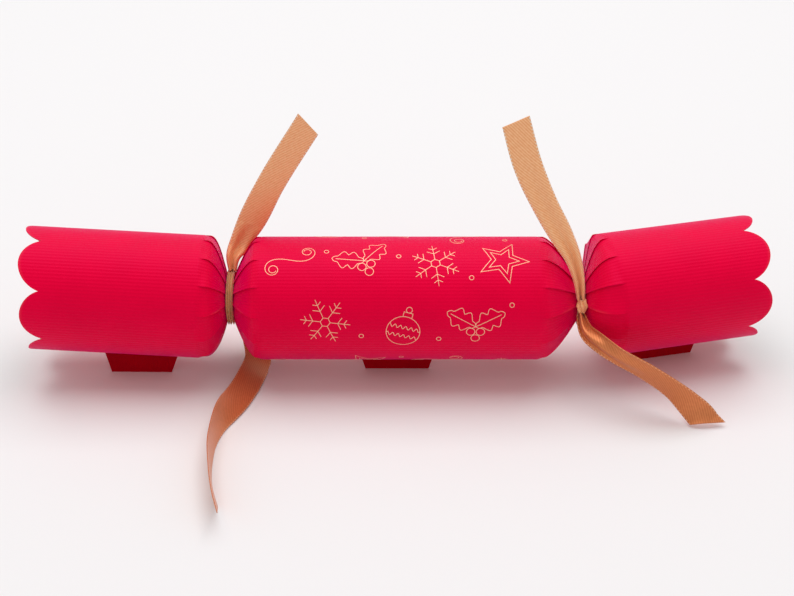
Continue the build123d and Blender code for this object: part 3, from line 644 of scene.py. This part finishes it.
ribbon_tail("left_ribbon_lower_tail", [
    ((-71.5, 11.7, 36.6), (1.0, 0.0, 0.0), 3.0),
    ((-70.6, 17.0, 27.0), (1.0, 0.12, 0.0), 7.2),
    ((-65.6, 18.4, 13.0), (0.97, 0.20, 0.10), 10.6),
    ((-62.0, 5.0, 2.7), (0.92, 0.0, -0.38), full),
    ((-63.8, -10.0, 2.8), (0.9, -0.15, -0.41), full),
    ((-66.0, -20.0, 3.1), (0.87, -0.2, -0.45), full),
    ((-68.7, -30.0, 3.9), (0.78, -0.2, -0.59), full),
    ((-71.0, -37.4, 4.9), (0.62, -0.15, -0.77), full),
    ((-73.2, -45.0, 5.7), (0.38, -0.1, -0.92), full),
    ((-75.2, -57.2, 6.1), (0.17, 0.0, -0.98), full),
    ((-75.6, -69.2, 6.1), (0.13, 0.0, -0.99), full),
    ((-74.4, -83.2, 6.1), (0.09, 0.0, -0.99), full),
    ((-71.3, -99.2, 6.1), (0.22, 0.0, -0.97), full),
    ((-69.4, -106.7, 6.1), (0.28, 0.0, -0.96), full),
], -20.0, "left_tie", copper_reverse_painted_shade, -1, 0.0)

band_inside, band_depth, band_width = 9.7, 1.0, 3.0
knot_length, knot_radius, knot_cut, knot_fold = 5.4, 1.8, 10.0, 0.46


def ribbon_band(name, x, knot_at, tie):
    """Turn round the neck: the ribbon's width is a wave of three folds, carried round the neck and open at the knot."""
    opening = 2 * np.degrees(np.arcsin((knot_length / 2 - 0.6) / (band_inside + band_depth / 2)))
    u = np.linspace(-0.5, 0.5, 49)
    turn = np.linspace(opening / 2, 360 - opening / 2, 120)[:, None]
    a = np.radians(knot_at + turn)
    drift = 0.12 * np.sin(3 * a + 1) * np.cos(2 * np.pi * u)
    wave = 0.6 * np.cos(6 * np.pi * u + 0.4 * np.sin(2 * a))
    r = band_inside + 0.65 + wave - 0.4 * (2 * u) ** 6 + 0.3 * drift
    along = x + band_width * u + drift
    points = np.stack(np.broadcast_arrays(along, -r * np.cos(a), axis_height + r * np.sin(a)), -1)
    length = np.radians(360 - opening) * (band_inside + band_depth / 2)
    uv = np.stack(np.broadcast_arrays(ribbon_width * u, turn / (360 - opening) * length), -1)
    piece = put_together(name + "_satin", [(points, uv, 0, True, None)], [gathered_satin_painted_shade], fold=80)
    cut_from_ribbon(piece, name, tie, ribbon_gathered, -1)


def ribbon_knot(name, x, knot_at, tie):
    """Knot: the ribbon wrapped once round its own tails, a bead whose folds run round it and slant as they go."""
    a = np.radians(knot_at)
    outwards, along = np.array([0, -np.cos(a), np.sin(a)]), np.array([0, np.sin(a), np.cos(a)])
    middle = np.array([x, 0, axis_height]) + outwards * (band_inside + knot_radius)
    u = np.linspace(-0.5, 0.5, 41)[:, None]
    turn = np.linspace(0, 2 * np.pi, 65)[:-1]
    bead = knot_radius * (0.5 + 0.42 * np.cos(np.pi * u) ** 0.8)
    r = bead + knot_fold * np.cos(5 * turn + 6 * u) + 0.12 * np.cos(4 * np.pi * u + turn)
    shift = 0.45 * np.sin(turn) * (1 - 4 * u**2)
    spoke = np.cos(turn)[:, None] * outwards + np.sin(turn)[:, None] * np.array([1.0, 0, 0])
    points = middle + r[..., None] * spoke + (knot_length * u + shift)[..., None] * along
    end = np.append(turn, 2 * np.pi)
    uv = np.stack(np.broadcast_arrays(end * 2.3, ribbon_width * u), -1)
    piece = put_together(name + "_satin", [(points, uv[..., ::-1], 0, False, None)], [copper_face_painted_sheen], fold=80)
    cut_from_ribbon(piece, name, tie, ribbon_gathered, -1)


for name, x, knot_at in (("left", -neck_x, 152.0), ("right", neck_x, 14.0)):
    ribbon_band(name + "_ribbon_band", x, knot_at, name + "_tie")
    ribbon_knot(name + "_ribbon_knot", x, knot_at, name + "_tie")

# Snap: two strips of grey card that overlap in the barrel inside a paper sleeve, each with a patch of friction
# compound where they meet. The strips run out through the necks into the ends.


def plain_finish(name, deep, bright, scale, stretch, plain, depth):
    """Two tones of one material, mixed by noise drawn out along the cracker, with a fine relief from the same noise."""
    material, tree, surface = finish_of(name, plain)
    place = node(tree, "Mapping", {"Vector": node(tree, "TexCoord").outputs["Object"], "Scale": stretch})
    cloud = node(tree, "TexNoise", {"Vector": place.outputs[0], "Scale": scale, "Detail": 5.0})
    tree.links.new(mixed(tree, cloud.outputs[0], deep, bright), surface.inputs["Base Color"])
    relief(tree, surface, cloud.outputs[0], depth)
    return material


snap_card = plain_finish(
    "snap_card", (0.36, 0.29, 0.21, 1), (0.56, 0.47, 0.36, 1), 900.0, (0.3, 1, 1), {"Roughness": 0.8}, 0.05
)
compound = plain_finish(
    "friction_compound", (0.03, 0.025, 0.025, 1), (0.17, 0.13, 0.12, 1), 2500.0, (1, 1, 1), {"Roughness": 0.9}, 0.06
)
sleeve_paper = plain_finish(
    "sleeve_paper", (0.52, 0.45, 0.34, 1), (0.70, 0.63, 0.51, 1), 700.0, (0.4, 1, 1), {"Roughness": 0.75}, 0.03
)
dress(snap_card, "left_snap_strip", "right_snap_strip")
dress(compound, "left_snap_charge", "right_snap_charge")
dress(sleeve_paper, "snap_band")

# Contents: a rolled hat of green tissue, a rolled paper slip and a small turned wooden top, whose peg is pressed
# through its disc. They lie loose in the barrel.
hat_tissue = plain_finish(
    "hat_tissue", (0.02, 0.22, 0.09, 1), (0.09, 0.42, 0.20, 1), 260.0, (0.25, 1, 1), {"Roughness": 0.7}, 0.25
)
slip_paper = plain_finish(
    "slip_paper", (0.74, 0.72, 0.66, 1), (0.88, 0.87, 0.82, 1), 600.0, (1, 1, 1), {"Roughness": 0.8}, 0.03
)
turned_wood = plain_finish(
    "turned_wood", (0.46, 0.26, 0.11, 1), (0.70, 0.47, 0.24, 1), 420.0, (0.12, 1, 1), {"Roughness": 0.5}, 0.05
)
dress(hat_tissue, "paper_hat")
dress(slip_paper, "motto_slip")
dress(turned_wood, "gift_top_disc", "gift_top_peg")

# Table and light: a pale seamless sweep, a large soft light above and a little behind, and even white light all round.
scene = bpy.context.scene
scene.view_settings.view_transform = "Standard"
floor_mesh = bpy.data.meshes.new("table")
reach = 6.0
corners = [(-reach, -reach, 0), (reach, -reach, 0), (reach, reach, 0), (-reach, reach, 0)]
floor_mesh.from_pydata(corners, [], [(0, 1, 2, 3)])
floor = bpy.data.objects.new("table", floor_mesh)
bpy.context.collection.objects.link(floor)
white, tree, surface = finish_of("table_white", {"Base Color": (0.84, 0.825, 0.83, 1), "Roughness": 0.9})
floor_mesh.materials.append(white)


def soft_light(name, place, aim, size, power):
    """Square area light at a place, facing a point."""
    lamp = bpy.data.lights.new(name, "AREA")
    lamp.shape, lamp.size, lamp.energy = "SQUARE", size, power
    made = bpy.data.objects.new(name, lamp)
    bpy.context.collection.objects.link(made)
    made.location = place
    made.rotation_euler = (Vector(aim) - made.location).to_track_quat("-Z", "Y").to_euler()


soft_light("key", (0.0, 0.4, 2.0), (0, 0, 0.03), 2.1, 31.5)
soft_light("front_fill", (-0.5, -1.3, 0.7), (0, 0, 0.03), 1.2, 0.6)
world = bpy.data.worlds.new("studio")
scene.world = world
world.use_nodes = True
world.node_tree.nodes["Background"].inputs["Color"].default_value = (1, 1, 1, 1)
world.node_tree.nodes["Background"].inputs["Strength"].default_value = 0.56

# Camera: square to the barrel, looking down at 30 degrees from 750 mm, with a long lens.
lens = bpy.data.cameras.new("camera")
lens.lens, lens.sensor_width = 82.77, 36.0
camera = bpy.data.objects.new("camera", lens)
bpy.context.collection.objects.link(camera)
aim, distance, elevation = np.array([-0.0034, 0, 0.034]), 0.75, np.pi / 6
camera.location = aim + distance * np.array([0, -np.cos(elevation), np.sin(elevation)])
camera.rotation_euler = (np.pi / 2 - elevation, 0, 0)
scene.camera = camera
